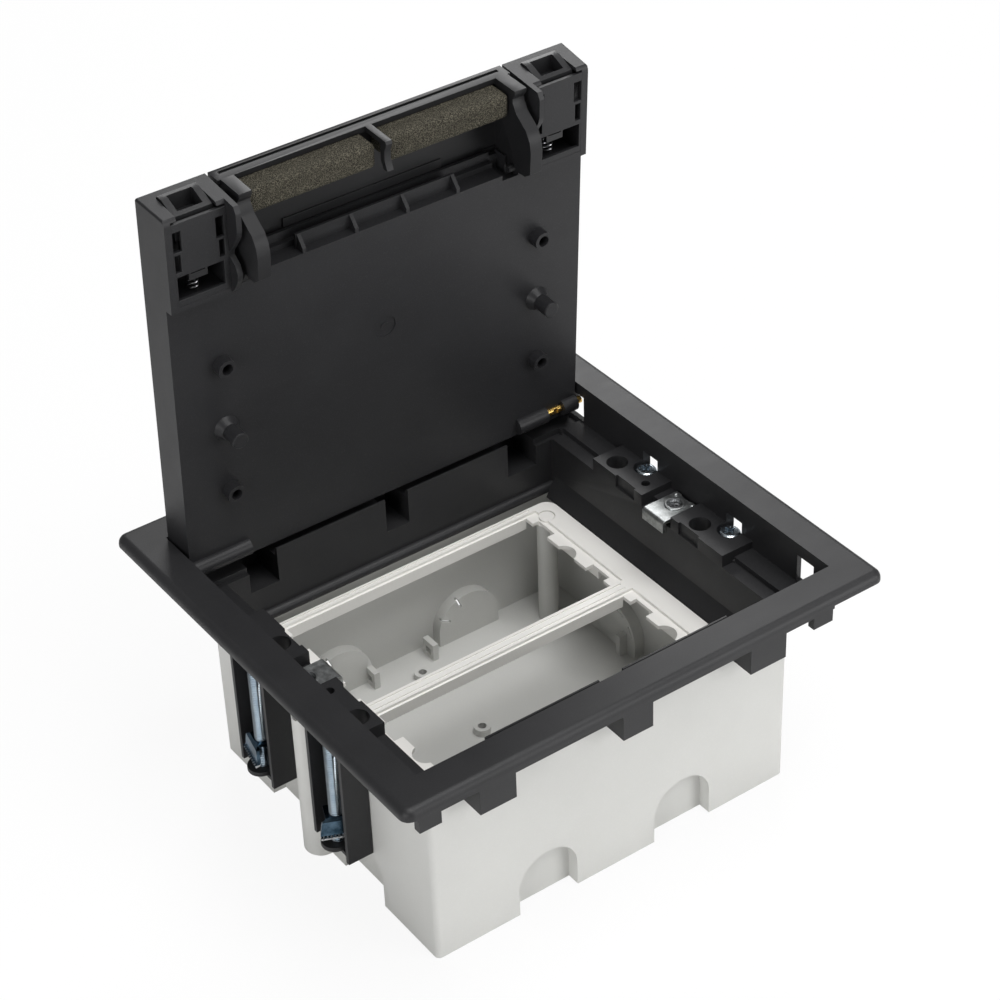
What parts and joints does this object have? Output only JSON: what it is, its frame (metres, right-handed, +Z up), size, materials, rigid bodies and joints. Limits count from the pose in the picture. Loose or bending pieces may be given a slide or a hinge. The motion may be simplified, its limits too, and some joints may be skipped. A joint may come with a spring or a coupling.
{
  "type": "floor socket box",
  "caption": "Flush floor box with a hinged lid, foam sealed cable flap, sliding latches, claw fixings and a frame with two empty module bays.",
  "frame": {"origin": "centre of the rim in plan, at the underside of the box", "axes": "+X along the front edge to the right, +Y from the front to the hinges, +Z up"},
  "size_m": [0.2, 0.184, 0.2389],
  "materials": {
    "box_grey": "moulded, matt",
    "frame_white": "moulded, satin",
    "frame_black": "fine spark eroded texture",
    "lid_black": "fine texture outside, satin inside",
    "latch_black": "satin",
    "foam": "open cell foam",
    "zinc": "zinc plated",
    "zinc_blue": "blue passivated zinc",
    "steel_wire": "drawn spring wire",
    "brass_pin": "turned"
  },
  "bodies": {
    "base": {"box_shell": "box_grey", "module_frame": "frame_white", "module_screws": "frame_white", "floor_frame": "frame_black", "screw_feet": "frame_black", "bracket_left": "zinc", "bracket_screw_left": "zinc", "column_nut_left": "zinc", "bracket_right": "zinc", "bracket_screw_right": "zinc", "column_nut_right": "zinc"},
    "lid": {"lid_panel": "lid_black", "latch_cover_left": "lid_black", "latch_cover_right": "lid_black", "latch_spring_left": "steel_wire", "latch_spring_right": "steel_wire", "pin_spring_left": "steel_wire", "pin_spring_right": "steel_wire"},
    "flap": {"cable_flap": "lid_black", "foam_strip_left": "foam", "foam_strip_right": "foam"},
    "latch_left": {"latch_button_left": "latch_black"},
    "pin_left": {"hinge_pin_left": "brass_pin"},
    "latch_right": {"latch_button_right": "latch_black"},
    "pin_right": {"hinge_pin_right": "brass_pin"},
    "claw_screw_left_front": {"claw_screw_left_front": "zinc_blue"},
    "claw_left_front": {"claw_left_front": "zinc_blue"},
    "claw_screw_left_back": {"claw_screw_left_back": "zinc_blue"},
    "claw_left_back": {"claw_left_back": "zinc_blue"},
    "claw_screw_right_front": {"claw_screw_right_front": "zinc_blue"},
    "claw_right_front": {"claw_right_front": "zinc_blue"},
    "claw_screw_right_back": {"claw_screw_right_back": "zinc_blue"},
    "claw_right_back": {"claw_right_back": "zinc_blue"}
  },
  "joints": [
    {"name": "lid_hinge", "type": "hinge", "parent": "base", "child": "lid", "pos_m": [0, 0.0714, 0.08968], "axis": [1, 0, 0], "range_deg": [0, 86.6]},
    {"name": "flap_hinge", "type": "hinge", "parent": "lid", "child": "flap", "pos_m": [0, 0.05846, 0.20502], "axis": [-1, 0, 0], "range_deg": [0, 25]},
    {"name": "latch_slide_left", "type": "slide", "parent": "lid", "child": "latch_left", "axis": [0, 0.0593, -0.9982], "range_m": [0, 0.0035], "stiffness_N_per_m": 400, "springref_m": -0.003, "deforming": ["latch_spring_left"]},
    {"name": "pin_slide_left", "type": "slide", "parent": "lid", "child": "pin_left", "axis": [1, 0, 0], "range_m": [0, 0.003], "stiffness_N_per_m": 400, "springref_m": -0.003, "deforming": ["pin_spring_left"]},
    {"name": "latch_slide_right", "type": "slide", "parent": "lid", "child": "latch_right", "axis": [0, 0.0593, -0.9982], "range_m": [0, 0.0035], "stiffness_N_per_m": 400, "springref_m": -0.003, "deforming": ["latch_spring_right"]},
    {"name": "pin_slide_right", "type": "slide", "parent": "lid", "child": "pin_right", "axis": [-1, 0, 0], "range_m": [0, 0.003], "stiffness_N_per_m": 400, "springref_m": -0.003, "deforming": ["pin_spring_right"]},
    {"name": "screw_turn_left_front", "type": "hinge", "parent": "base", "child": "claw_screw_left_front", "pos_m": [-0.0843, -0.021, 0.05], "axis": [0, 0, 1], "range_deg": [0, 16200]},
    {"name": "claw_lift_left_front", "type": "slide", "parent": "base", "child": "claw_left_front", "axis": [0, 0, 1], "range_m": [0, 0.0361]},
    {"name": "screw_turn_left_back", "type": "hinge", "parent": "base", "child": "claw_screw_left_back", "pos_m": [-0.0843, 0.0275, 0.05], "axis": [0, 0, 1], "range_deg": [0, 16200]},
    {"name": "claw_lift_left_back", "type": "slide", "parent": "base", "child": "claw_left_back", "axis": [0, 0, 1], "range_m": [0, 0.0361]},
    {"name": "screw_turn_right_front", "type": "hinge", "parent": "base", "child": "claw_screw_right_front", "pos_m": [0.0843, -0.0275, 0.05], "axis": [0, 0, 1], "range_deg": [0, 16200]},
    {"name": "claw_lift_right_front", "type": "slide", "parent": "base", "child": "claw_right_front", "axis": [0, 0, 1], "range_m": [0, 0.0361]},
    {"name": "screw_turn_right_back", "type": "hinge", "parent": "base", "child": "claw_screw_right_back", "pos_m": [0.0843, 0.021, 0.05], "axis": [0, 0, 1], "range_deg": [0, 16200]},
    {"name": "claw_lift_right_back", "type": "slide", "parent": "base", "child": "claw_right_back", "axis": [0, 0, 1], "range_m": [0, 0.0361]}
  ],
  "couplings": [
    {"joint": "claw_lift_left_front", "follows": "screw_turn_left_front", "m_per_rad": 0.00012732},
    {"joint": "claw_lift_left_back", "follows": "screw_turn_left_back", "m_per_rad": 0.00012732},
    {"joint": "claw_lift_right_front", "follows": "screw_turn_right_front", "m_per_rad": 0.00012732},
    {"joint": "claw_lift_right_back", "follows": "screw_turn_right_back", "m_per_rad": 0.00012732}
  ]
}
